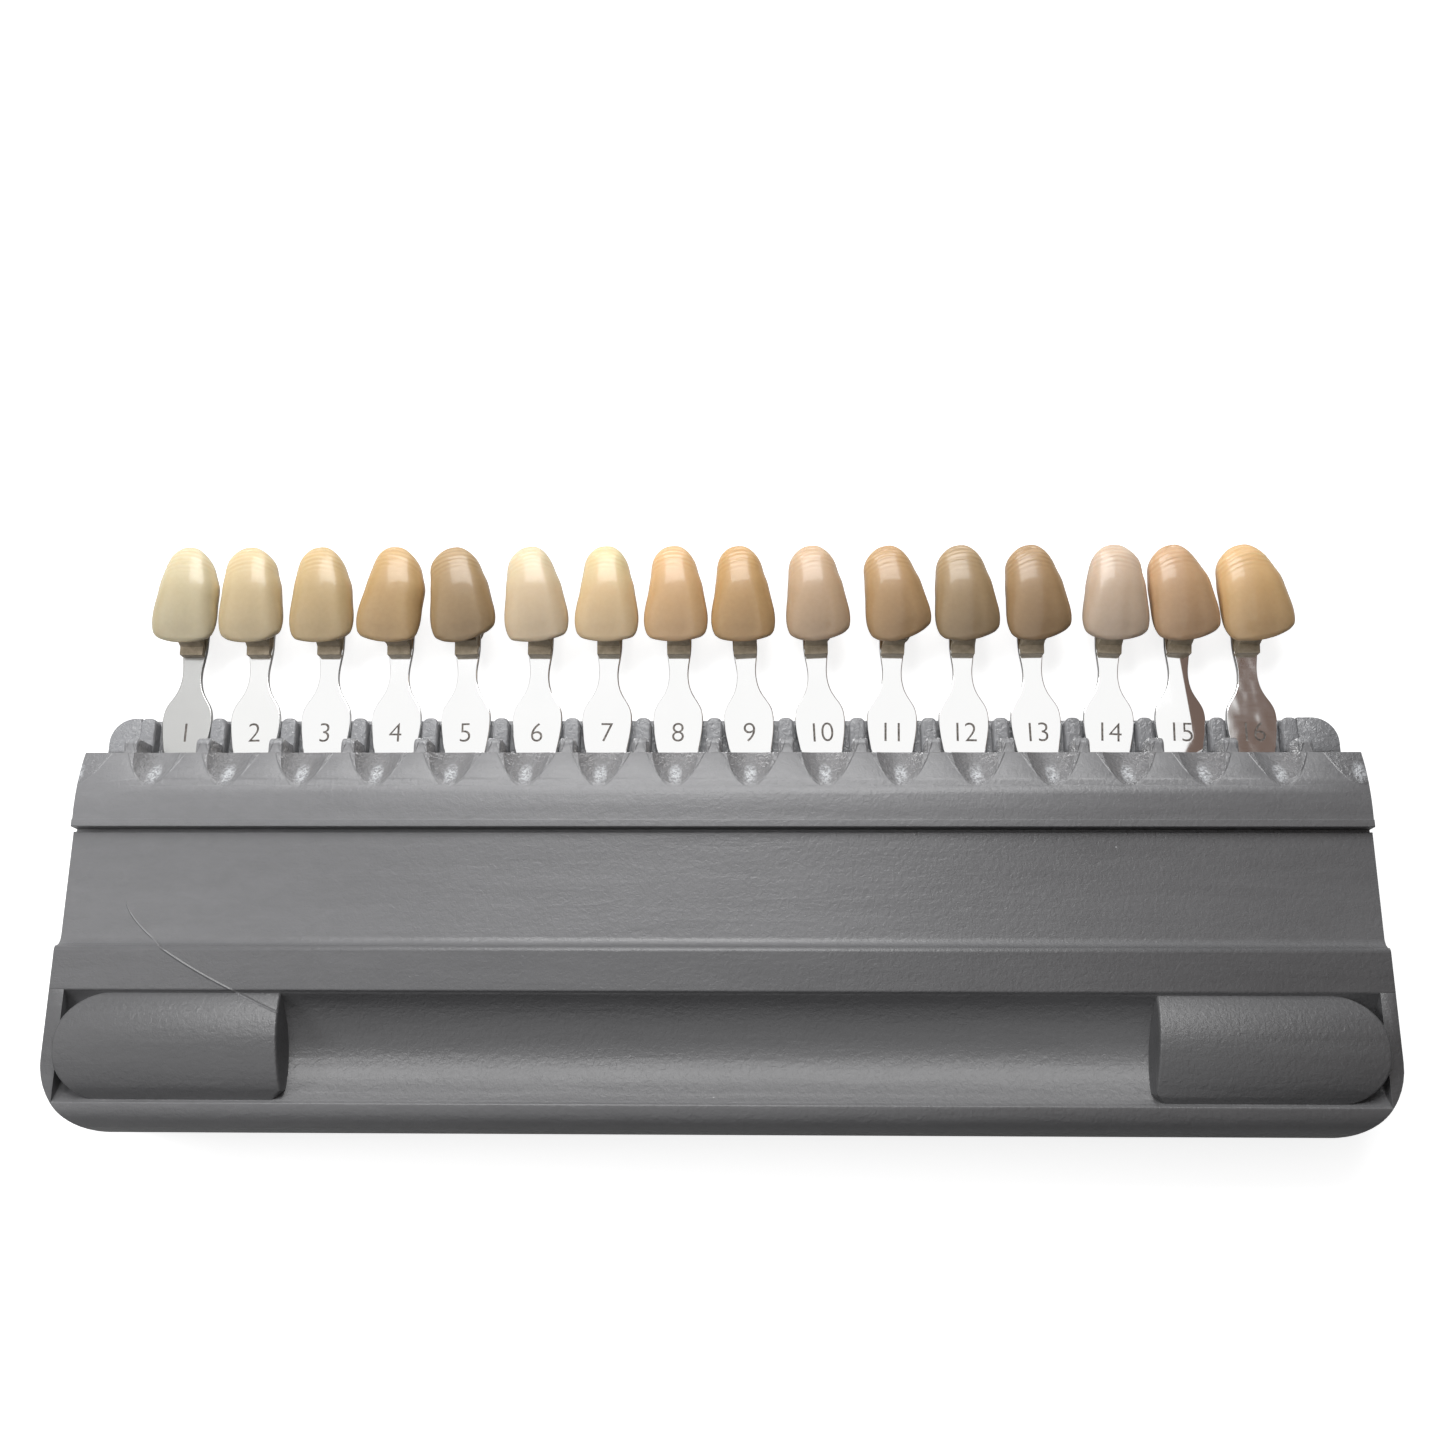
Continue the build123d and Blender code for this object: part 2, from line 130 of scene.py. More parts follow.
class Nodes:
    """A node tree under construction."""

    def __init__(self, tree: bpy.types.NodeTree) -> None:
        """Work on a tree."""
        self.tree = tree

    def add(self, kind: str, **settings: object) -> bpy.types.Node:
        """Add a node.

        Args:
            kind: The node's type name.
            **settings: Attributes to set on the node.

        Returns:
            The new node.
        """
        node = self.tree.nodes.new(kind)
        for key, value in settings.items():
            setattr(node, key, value)
        return node

    def join(self, source: bpy.types.NodeSocket, target: bpy.types.NodeSocket) -> None:
        """Link one socket to another."""
        self.tree.links.new(source, target)

    def ramp(self, value: bpy.types.NodeSocket,
             stops: Iterable[tuple[float, Colour | float]]) -> bpy.types.NodeSocket:
        """Colour ramp over a value.

        Args:
            value: The value socket.
            stops: Pairs of place and colour, or place and grey.

        Returns:
            The colour socket.
        """
        node = self.add("ShaderNodeValToRGB")
        places = node.color_ramp.elements
        rows = list(stops)
        while len(places) < len(rows):
            places.new(0.5)
        for element, (place, colour) in zip(places, rows):
            element.position = place
            shade = (colour, colour, colour) if isinstance(colour, (int, float)) else colour
            element.color = (*shade, 1.0)
        self.join(value, node.inputs["Fac"])
        return node.outputs["Color"]

    def math(self, operation: str, *values: bpy.types.NodeSocket | float) -> bpy.types.NodeSocket:
        """Math node over sockets or numbers.

        Args:
            operation: The operation's name.
            *values: Its inputs, in order.

        Returns:
            The value socket.
        """
        node = self.add("ShaderNodeMath", operation=operation)
        for socket, value in zip(node.inputs, values):
            if isinstance(value, (int, float)):
                socket.default_value = value
            else:
                self.join(value, socket)
        return node.outputs["Value"]

    def held(self, operation: str, *values: bpy.types.NodeSocket | float) -> bpy.types.NodeSocket:
        """Math node whose result is held between 0 and 1."""
        result = self.math(operation, *values)
        result.node.use_clamp = True
        return result

    def mix(self, share: bpy.types.NodeSocket | float, first: bpy.types.NodeSocket | Colour,
            second: bpy.types.NodeSocket | Colour, kind: str = "MIX") -> bpy.types.NodeSocket:
        """Mix of two colours.

        Args:
            share: How much of the second colour shows.
            first: The first colour.
            second: The second colour.
            kind: The blend mode.

        Returns:
            The colour socket.
        """
        node = self.add("ShaderNodeMix", data_type="RGBA", blend_type=kind)
        sockets = [node.inputs["Factor"]] + [s for s in node.inputs if s.type == "RGBA"]
        for socket, value in zip(sockets, (share, first, second)):
            if isinstance(value, bpy.types.NodeSocket):
                self.join(value, socket)
            elif socket.type == "RGBA":
                socket.default_value = (*value, 1.0)
            else:
                socket.default_value = value
        return [s for s in node.outputs if s.type == "RGBA"][0]

    def split(self, vector: bpy.types.NodeSocket) -> bpy.types.bpy_prop_collection:
        """The X, Y and Z sockets of a vector."""
        node = self.add("ShaderNodeSeparateXYZ")
        self.join(vector, node.inputs["Vector"])
        return node.outputs


class Material(Nodes):
    """A node material under construction, with its shader at hand."""

    def __init__(self, name: str) -> None:
        """Start a material with an empty tree, a principled shader and object coordinates."""
        self.data = bpy.data.materials.new(name)
        self.data.use_nodes = True
        super().__init__(self.data.node_tree)
        self.tree.nodes.clear()
        self.shader = self.add("ShaderNodeBsdfPrincipled")
        output = self.add("ShaderNodeOutputMaterial")
        self.join(self.shader.outputs["BSDF"], output.inputs["Surface"])
        self.place = self.add("ShaderNodeTexCoord").outputs["Object"]

    def set(self, **values: object) -> None:
        """Set plain values on the shader's own sockets, by name with _ for a space."""
        for key, value in values.items():
            self.shader.inputs[key.replace("_", " ")].default_value = value

    def mapped(self, scale: tuple[float, float, float],
               turn: float = 0.0) -> bpy.types.NodeSocket:
        """Object coordinates, scaled and turned about Z.

        Args:
            scale: Scale on each axis.
            turn: Turn about Z, in degrees.

        Returns:
            The vector socket.
        """
        node = self.add("ShaderNodeMapping")
        node.inputs["Scale"].default_value = scale
        node.inputs["Rotation"].default_value = (0, 0, math.radians(turn))
        self.join(self.place, node.inputs["Vector"])
        return node.outputs["Vector"]

    def noise(self, vector: bpy.types.NodeSocket, scale: float, detail: float = 2.0,
              rough: float = 0.5, distortion: float = 0.0) -> bpy.types.NodeSocket:
        """Noise from 0 to 1.

        Args:
            vector: The coordinates.
            scale: Waves in a metre.
            detail: Octaves.
            rough: Strength of the finer octaves.
            distortion: How far the pattern is pushed about.

        Returns:
            The value socket.
        """
        node = self.add("ShaderNodeTexNoise")
        node.inputs["Scale"].default_value = scale
        node.inputs["Detail"].default_value = detail
        node.inputs["Roughness"].default_value = rough
        node.inputs["Distortion"].default_value = distortion
        self.join(vector, node.inputs["Vector"])
        return node.outputs["Fac"]

    def bump(self, height: bpy.types.NodeSocket, strength: float, distance: float,
             after: bpy.types.NodeSocket | None = None) -> bpy.types.NodeSocket:
        """Bump a height into the shader's normal.

        Args:
            height: The height socket.
            strength: Strength, from 0 to 1.
            distance: Depth, in metres.
            after: An earlier bump to build on.

        Returns:
            The normal socket.
        """
        node = self.add("ShaderNodeBump")
        node.inputs["Strength"].default_value = strength
        node.inputs["Distance"].default_value = distance
        self.join(height, node.inputs["Height"])
        if after is not None:
            self.join(after, node.inputs["Normal"])
        return node.outputs["Normal"]


@dataclass(frozen=True)
class MouldedPlastic:
    """Satin grey injection moulding with flow streaks, scuffs and pale specks, with painted
    shade, painted highlights and painted glints in its colour.

    Attributes:
        name: Name of the material.
        base: Its main colour.
        streak: Colour of the paler flow streaks.
        worn: Colour of the comb, paler: painted light on the comb and its posts.
        roughness: Middle roughness.
        bowl_low: Height of the foot of the scoops, in millimetres.
        bowl_bend: How fast the scoops' outline rises sideways, in 1/mm.
        glint_rise: Height of the painted glint's middle above that foot, in millimetres.
        glint_half: Half width and half height of the painted glint, in millimetres.
    """

    name: str = "moulded_grey_plastic"
    base: Colour = srgb(128, 128, 130)
    streak: Colour = srgb(138, 138, 140)
    worn: Colour = srgb(158, 159, 162)
    roughness: float = 0.38
    bowl_low: float = 17.7
    bowl_bend: float = 0.28
    glint_rise: float = 2.1
    glint_half: tuple[float, float] = (1.1, 1.9)

    def build(self) -> bpy.types.Material:
        """Build the material and return it."""
        made = Material(self.name)
        plain = made.mapped((1, 1, 1))
        flow = made.noise(made.mapped((0.10, 1.0, 1.0)), 380.0, 4.0, 0.55, 0.6)
        cloud = made.noise(made.mapped((0.4, 1, 1)), 42.0, 3.0, 0.5, 0.4)
        grain = made.noise(plain, 5200.0, 2.0, 0.6)
        mottle = made.noise(plain, 1500.0, 3.0, 0.6, 0.5)
        mixed = made.math("ADD", made.math("MULTIPLY", flow, 0.35),
                          made.math("MULTIPLY", cloud, 0.65))
        scoop, comb = self.zones(made)
        glossy = made.math("MAXIMUM", scoop, made.math("MULTIPLY", comb, 0.6))
        colour = made.ramp(mixed, [(0.36, self.base), (0.66, self.streak)])
        # Painted light: the comb above the lip is made paler.
        colour = made.mix(made.math("MULTIPLY", comb, 0.75), colour, self.worn)
        blotch = made.noise(made.mapped((0.5, 1, 1)), 620.0, 4.0, 0.65, 0.8)
        colour = made.mix(1.0, colour, made.ramp(blotch, [(0.25, 0.88), (0.75, 1.0)]), "MULTIPLY")
        # Painted light and shade: the trough, band and right end are darkened and the lip is
        # lightened.
        colour = made.mix(1.0, colour, self.tone(made), "MULTIPLY")
        # Painted glint: pale mottled spots at the foot of each scoop stand in for highlights.
        sparkle = made.ramp(made.noise(plain, 2300.0, 3.0, 0.7), [(0.44, 0.12), (0.56, 1.0)])
        glint = made.math("MULTIPLY", self.glint(made), sparkle)
        colour = made.mix(made.math("MULTIPLY", glint, 0.75), colour, srgb(226, 229, 233))
        scratch = self.scratch(made)
        colour = made.mix(made.math("MULTIPLY", scratch, 0.22), colour, srgb(190, 190, 192))
        colour = made.mix(self.specks(made, plain), colour, srgb(188, 188, 190))
        made.join(colour, made.shader.inputs["Base Color"])
        shine = made.math("ADD", self.roughness - 0.09, made.math("MULTIPLY", mixed, 0.22))
        shine = made.math("SUBTRACT", shine, made.math("MULTIPLY", glossy, 0.16))
        made.join(shine, made.shader.inputs["Roughness"])
        height = made.math("ADD", made.math("MULTIPLY", flow, 0.9),
                           made.math("MULTIPLY", grain, 0.2))
        depth = made.math("ADD", 0.9, made.math("MULTIPLY", glossy, 2.2))
        skin = made.math("MULTIPLY", mottle, depth)
        height = made.math("ADD", height, made.math("MULTIPLY", scratch, 2.0))
        first = made.bump(made.math("ADD", height, skin), 0.6, 0.00013)
        made.join(made.bump(cloud, 0.5, 0.00025, first), made.shader.inputs["Normal"])
        made.set(Specular_IOR_Level=0.7)
        return made.data

    def tone(self, made: Material) -> bpy.types.NodeSocket:
        """Grey that multiplies the colour, painted light and shade: painted shade in the trough,
        on the band and towards the right end, and a painted highlight on the lip.

        Args:
            made: The material under construction.

        Returns:
            The colour socket.
        """
        axes = made.split(made.place)
        low, high = (edge[1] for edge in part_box("front_shell"))
        share = made.math("DIVIDE", made.math("SUBTRACT", axes["Y"], low), high - low)
        painted_light_and_shade_bands = made.ramp(share, [((y * MM - low) / (high - low), grey) for y, grey in (
            (-29.5, 0.72), (-26.5, 0.58), (-18.0, 0.42), (-12.0, 0.52), (-11.0, 0.60),
            (-5.6, 0.64), (-4.6, 0.84), (11.0, 0.78), (12.0, 0.90), (19.0, 1.06))])
        left, right = (edge[0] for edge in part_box("front_shell"))
        along = made.math("DIVIDE", made.math("SUBTRACT", axes["X"], left), right - left)
        return made.mix(1.0, painted_light_and_shade_bands, made.ramp(along, [(0.0, 1.0), (0.4, 0.96), (1.0, 0.80)]),
                        "MULTIPLY")

    def zones(self, made: Material) -> tuple[bpy.types.NodeSocket, bpy.types.NodeSocket]:
        """Masks of the polished scoops under the handles and of the comb above the lip; the
        comb's mask also carries its painted light.

        Args:
            made: The material under construction.

        Returns:
            The two masks, from 0 to 1.
        """
        axes = made.split(made.place)
        beside = self.beside(made)
        bowl = made.math("MULTIPLY", made.math("MULTIPLY", beside, beside), self.bowl_bend / MM)
        above = made.math("SUBTRACT", made.math("SUBTRACT", axes["Y"], self.bowl_low * MM), bowl)
        scoop = made.held("MULTIPLY", above, 2.5 / MM)
        comb = made.held("MULTIPLY", made.math("SUBTRACT", axes["Y"], MOUTH_Y * MM), 2.0 / MM)
        return scoop, comb

    def glint(self, made: Material) -> bpy.types.NodeSocket:
        """Mask of the painted glint at the foot of each scoop: a bright spot that stands in for a
        highlight.

        Args:
            made: The material under construction.

        Returns:
            The mask, from 0 to 1.
        """
        height = made.split(made.place)["Y"]
        beside = made.math("DIVIDE", self.beside(made), self.glint_half[0] * MM)
        along = made.math("DIVIDE", made.math(
            "SUBTRACT", height, (self.bowl_low + self.glint_rise) * MM), self.glint_half[1] * MM)
        far = made.math("ADD", made.math("MULTIPLY", beside, beside),
                        made.math("MULTIPLY", along, along))
        return made.held("SUBTRACT", 1.0, far)

    @staticmethod
    def beside(made: Material) -> bpy.types.NodeSocket:
        """Distance sideways from the middle of the nearest scoop, in metres."""
        half = TAB_PITCH / 2 * MM
        across = made.math("SUBTRACT", made.split(made.place)["X"], COMB_OFFSET * MM + half)
        return made.math("PINGPONG", across, half)

    @staticmethod
    def scratch(made: Material) -> bpy.types.NodeSocket:
        """Mask of a raised flow line that runs down the left end, over panel and band.

        Args:
            made: The material under construction.

        Returns:
            The mask, from 0 to 1.
        """
        start_x, start_y, width, height, half_line = (
            size * MM for size in (-84.0, 1.5, 24.0, 16.0, 0.22))
        bend = 0.62
        axes = made.split(made.place)
        along = made.math("DIVIDE", made.math("SUBTRACT", axes["X"], start_x), width)
        course = made.math("MULTIPLY", made.math("POWER", along, bend), -height)
        off = made.math("SUBTRACT", made.math("SUBTRACT", axes["Y"], start_y), course)
        far = made.math("DIVIDE", made.math("ABSOLUTE", off), half_line)
        near = made.held("SUBTRACT", 1.0, far)
        inside = made.math("MULTIPLY", made.math("GREATER_THAN", along, 0.0),
                           made.math("LESS_THAN", along, 1.0))
        return made.math("MULTIPLY", near, inside)

    @staticmethod
    def specks(made: Material, place: bpy.types.NodeSocket) -> bpy.types.NodeSocket:
        """Mask of a few pale specks.

        Args:
            made: The material under construction.
            place: The coordinates.

        Returns:
            The mask.
        """
        cells = made.add("ShaderNodeTexVoronoi", feature="F1")
        cells.inputs["Scale"].default_value = 230.0
        made.join(place, cells.inputs["Vector"])
        rare = made.math("GREATER_THAN", made.split(cells.outputs["Color"])["X"], 0.90)
        dot = made.math("LESS_THAN", cells.outputs["Distance"], 0.03)
        return made.math("MULTIPLY", made.math("MULTIPLY", rare, dot), 0.6)


@dataclass(frozen=True)
class PolishedSteel:
    """Polished stamped stainless steel with fine drawn lines.

    Attributes:
        name: Name of the material.
        tint: Its reflected colour.
        roughness: Middle roughness.
        brushed: Strength of the drawn lines, from 0 to 1.
        grain_turn: Turn of the drawn lines, in degrees.
        dents: Strength of the wide waves in the sheet, from 0 to 1.
    """

    name: str = "polished_steel"
    tint: Colour = (0.95, 0.95, 0.945)
    roughness: float = 0.07
    brushed: float = 0.05
    grain_turn: float = 12.0
    dents: float = 0.10

    def build(self) -> bpy.types.Material:
        """Build the material and return it."""
        made = Material(self.name)
        made.set(Base_Color=(*self.tint, 1.0), Metallic=1.0)
        across = made.noise(made.mapped((0.06, 1, 1), self.grain_turn), 5200.0, 3.0, 0.6)
        waves = made.noise(made.mapped((1, 0.7, 1)), 170.0, 2.0, 0.5)
        shine = made.math("ADD", self.roughness - 0.03,
                          made.math("MULTIPLY", made.math("MULTIPLY", across, waves), 0.14))
        made.join(shine, made.shader.inputs["Roughness"])
        lines = made.bump(across, self.brushed, 0.00002)
        made.join(made.bump(waves, self.dents, 0.00008, lines), made.shader.inputs["Normal"])
        return made.data


@dataclass(frozen=True)
class StampedFigure:
    """Dark, dull inlay on the floor of a stamped figure: painted shade in the stamped groove.

    Attributes:
        name: Name of the material.
        base: Its main colour.
        worn: Its paler, worn spots.
    """

    name: str = "stamped_figure"
    base: Colour = srgb(84, 78, 74)
    worn: Colour = srgb(150, 144, 138)

    def build(self) -> bpy.types.Material:
        """Build the material and return it."""
        made = Material(self.name)
        wear = made.noise(made.mapped((1, 1, 1)), 2600.0, 3.0, 0.6)
        made.join(made.ramp(wear, [(0.42, self.base), (0.72, self.worn)]),
                  made.shader.inputs["Base Color"])
        made.set(Roughness=0.6, Metallic=0.4)
        return made.data


@dataclass(frozen=True)
class BackingResin:
    """Taupe bonding resin, slightly mottled.

    Attributes:
        name: Name of the material.
        base: Its main colour.
        dark: Its darker mottling.
    """

    name: str = "backing_resin"
    base: Colour = srgb(186, 171, 148)
    dark: Colour = srgb(160, 146, 124)

    def build(self) -> bpy.types.Material:
        """Build the material and return it."""
        made = Material(self.name)
        mottle = made.noise(made.mapped((1, 1, 1)), 900.0, 4.0, 0.6)
        made.join(made.ramp(mottle, [(0.35, self.dark), (0.65, self.base)]),
                  made.shader.inputs["Base Color"])
        made.join(made.bump(mottle, 0.4, 0.00008), made.shader.inputs["Normal"])
        made.set(Roughness=0.5)
        return made.data


@dataclass(frozen=True)
class ToothShade:
    """Glossy layered tooth: a neck lightened with painted light, main body and a greyer, clearer
    biting third, with painted highlight and shade on its growth rings.

    Attributes:
        name: Name of the material.
        body: Colour of the middle of the tooth.
        neck_lift: Red, green and blue of the neck, times those of the body; the lift is painted
            light.
        edge_grey: How far the biting edge goes towards grey, from 0 to 1.
    """

    name: str
    body: Colour
    neck_lift: Colour = (1.40, 1.42, 1.46)
    edge_grey: float = 0.225

    def neck(self) -> Colour:
        """Lighter colour of the neck, from painted light."""
        return tuple(min(c * lift, 0.92) for c, lift in zip(self.body, self.neck_lift))

    def edge(self) -> Colour:
        """Greyer and darker colour of the biting edge."""
        grey = sum(self.body) / 3 * 0.86
        return tuple(c + (grey - c) * self.edge_grey - 0.02 for c in self.body)

    def build(self) -> bpy.types.Material:
        """Build the material and return it."""
        made = Material(self.name)
        chart = made.add("ShaderNodeUVMap", uv_map=TOOTH_MAP)
        axes = made.split(chart.outputs["UV"])
        plain = made.mapped((1, 1, 1))
        drift = made.noise(made.mapped((1.0, 0.45, 1)), 260.0, 3.0, 0.5)
        across = made.math("SUBTRACT", axes["X"], 0.5)
        bow = made.math("MULTIPLY", made.math("MULTIPLY", across, across), 0.5)
        bowed = made.math("ADD", axes["Y"], bow)
        wander = made.math("MULTIPLY", made.math("SUBTRACT", drift, 0.5), 0.16)
        between = tuple((a + b) / 2 for a, b in zip(self.edge(), self.body))
        # The neck stop is lightened with painted light.
        colour = made.ramp(made.math("ADD", bowed, wander), [
            (0.02, self.edge()), (0.30, between), (0.52, self.body), (0.92, self.neck())])
        # Painted highlight and shade: lighter and darker arcs along the growth rings near the
        # neck, where the ridges catch light.
        ring_pitch = 0.05
        wave = made.math("SINE", made.math("MULTIPLY", bowed, math.tau / ring_pitch))
        zone = made.held("MULTIPLY", made.math("SUBTRACT", axes["Y"], 0.68), 6.0)
        painted_ring_light_and_shade = made.math("MULTIPLY", made.math("MULTIPLY", wave, zone), drift)
        tint = made.ramp(made.math("ADD", 0.5, painted_ring_light_and_shade), [(0.2, 0.40), (0.8, 0.66)])
        colour = made.mix(0.5, colour, tint, "SOFT_LIGHT")
        lobes = made.math("COSINE", made.math("MULTIPLY", across, math.tau * 1.6))
        upright = made.ramp(made.math("ADD", 0.5, made.math("MULTIPLY", lobes, 0.5)),
                            [(0.2, 0.56), (0.8, 0.46)])
        colour = made.mix(0.35, colour, upright, "SOFT_LIGHT")
        flecks = made.ramp(made.noise(plain, 1400.0, 3.0, 0.6), [(0.3, 0.35), (0.7, 0.75)])
        colour = made.mix(0.14, colour, flecks, "SOFT_LIGHT")
        made.join(colour, made.shader.inputs["Base Color"])
        made.set(Roughness=0.36, Coat_Weight=0.5, Coat_Roughness=0.09, Subsurface_Weight=0.22,
                 Subsurface_Scale=0.0015, Subsurface_Radius=(1.0, 0.7, 0.45))
        fine = made.noise(plain, 2300.0, 2.0, 0.5)
        rings = made.noise(made.mapped((0.25, 1, 0.25)), 1500.0, 1.0, 0.4)
        first = made.bump(fine, 0.12, 0.00002)
        made.join(made.bump(rings, 0.25, 0.00004, first), made.shader.inputs["Normal"])
        return made.data


@dataclass(frozen=True)
class StudioSweep:
    """Matte white floor that shows as plain white to the camera and keeps the shadow.

    Attributes:
        name: Name of the material.
        tone: Its own colour.
        glow: Light that it adds towards the camera, so that open floor shows as plain white.
    """

    name: str = "studio_white"
    tone: Colour = (0.60, 0.60, 0.60)
    glow: float = 0.82

    def build(self) -> bpy.types.Material:
        """Build the material and return it."""
        made = Material(self.name)
        made.set(Base_Color=(*self.tone, 1.0), Roughness=0.9, Specular_IOR_Level=0.0,
                 Emission_Color=(1.0, 1.0, 1.0, 1.0))
        path = made.add("ShaderNodeLightPath")
        glow = made.math("MULTIPLY", path.outputs["Is Camera Ray"], self.glow)
        made.join(glow, made.shader.inputs["Emission Strength"])
        return made.data


class Row(Enum):
    """The rows of pieces on a tab, from back to front."""

    HANDLE = "handle"
    BACKING = "backing"
    TOOTH = "tooth"


def new_piece(name: str, shape: bmesh.types.BMesh, material: bpy.types.Material,
              sharp_angle: float = 40.0) -> bpy.types.Object:
    """Turn a bmesh into a smooth-shaded object at the origin.

    Args:
        name: Name of the object.
        shape: The bmesh, which is freed.
        material: Its material.
        sharp_angle: Edges above this angle stay sharp, in degrees.

    Returns:
        The new object.
    """
    bmesh.ops.recalc_face_normals(shape, faces=shape.faces)
    limit = math.radians(sharp_angle)
    for face in shape.faces:
        face.smooth = True
    for edge in shape.edges:
        edge.smooth = len(edge.link_faces) == 2 and edge.calc_face_angle(0.0) < limit
    mesh = bpy.data.meshes.new(name)
    shape.to_mesh(mesh)
    shape.free()
    mesh.materials.append(material)
    piece = bpy.data.objects.new(name, mesh)
    bpy.context.scene.collection.objects.link(piece)
    return piece


def softened(node: str, offset: float, sharp_angle: float,
             segments: int = 3) -> bmesh.types.BMesh:
    """Merged copy of a model node whose sharp edges are rounded; the node stays as it is.

    Args:
        node: Name of the node.
        offset: Width of the rounding, in millimetres.
        sharp_angle: Edges above this angle are rounded, in degrees.
        segments: Steps across the rounding.

    Returns:
        The bmesh.
    """
    shape = bmesh.new()
    shape.from_mesh(FRAME["nodes"][node].data)
    bmesh.ops.remove_doubles(shape, verts=shape.verts, dist=MERGE_GAP)
    bmesh.ops.dissolve_limit(shape, angle_limit=math.radians(1.0), verts=shape.verts,
                             edges=shape.edges)
    limit = math.radians(sharp_angle)
    rims = [edge for edge in shape.edges
            if len(edge.link_faces) == 2 and edge.calc_face_angle(0.0) > limit]
    bmesh.ops.bevel(shape, geom=rims, offset=offset * MM, segments=segments, profile=0.5,
                    affect="EDGES", material=-1, clamp_overlap=True)
    return shape


@dataclass(frozen=True)
class ToothBuild:
    """How one tooth departs from the common outline, in millimetres; left side, then right.

    Attributes:
        corner: Fullness of the two corners of the biting edge.
        waist: Fullness of the two sides above the middle.
        neck: Fullness of the two sides at the neck.
        width: Width of the whole tooth.
        slant: How far the right half of the biting edge lies above the left one.
    """

    corner: tuple[float, float] = (0.0, 0.0)
    waist: tuple[float, float] = (0.0, 0.0)
    neck: tuple[float, float] = (0.0, 0.0)
    width: float = 9.85
    slant: float = 0.0


@dataclass(frozen=True)
class TabFacts:
    """What differs from one tab to the next.

    Attributes:
        number: Number stamped on the handle, from 1 at the left.
        shade: Body colour of the tooth.
        build: How the tooth departs from the common outline.
        aside: Place of the tab beside its post, in millimetres.
        lean: Lean of the whole tab, in degrees anticlockwise.
        roll: Roll of the tooth, in degrees anticlockwise.
        shift: How far the tooth sits to the right of its handle, in millimetres.
    """

    number: int
    shade: Colour
    build: ToothBuild
    aside: float
    lean: float
    roll: float
    shift: float

    @property
    def body(self) -> str:
        """Name of the body that carries the tab."""
        return f"tab_{self.number:02d}"

    def node(self, row: Row) -> str:
        """Name of the model node in a row of the tab."""
        return f"{self.body}_{row.value}"

    def slot(self, row: Row) -> str:
        """Name of the record's material slot of a row."""
        return {Row.HANDLE: "tab_metal", Row.BACKING: "backing",
                Row.TOOTH: f"shade_{self.number:02d}"}[row]

    def place(self) -> Matrix:
        """Place of the leaning tab; the handle's mouth line is the pivot."""
        across = COMB_OFFSET + (self.number - 0.5 - len(SHADES) / 2) * TAB_PITCH + self.aside
        turn = Matrix.Rotation(math.radians(self.lean), 4, "Z")
        return (Matrix.Translation(Vector((across, MOUTH_Y, 0)) * MM) @ turn
                @ Matrix.Translation(Vector((0, -MOUTH_Y, 0)) * MM))

    def tooth_place(self, length: float) -> Matrix:
        """Place of the tooth, drawn about its middle with its back on Z = 0.

        Args:
            length: Length of the tooth, in millimetres.

        Returns:
            The matrix, in metres.
        """
        turn = Matrix.Rotation(math.radians(self.roll - self.lean), 4, "Z")
        middle = Vector((self.shift, EDGE_Y + length / 2, TOOTH_BACK_Z)) * MM
        return self.place() @ Matrix.Translation(middle) @ turn


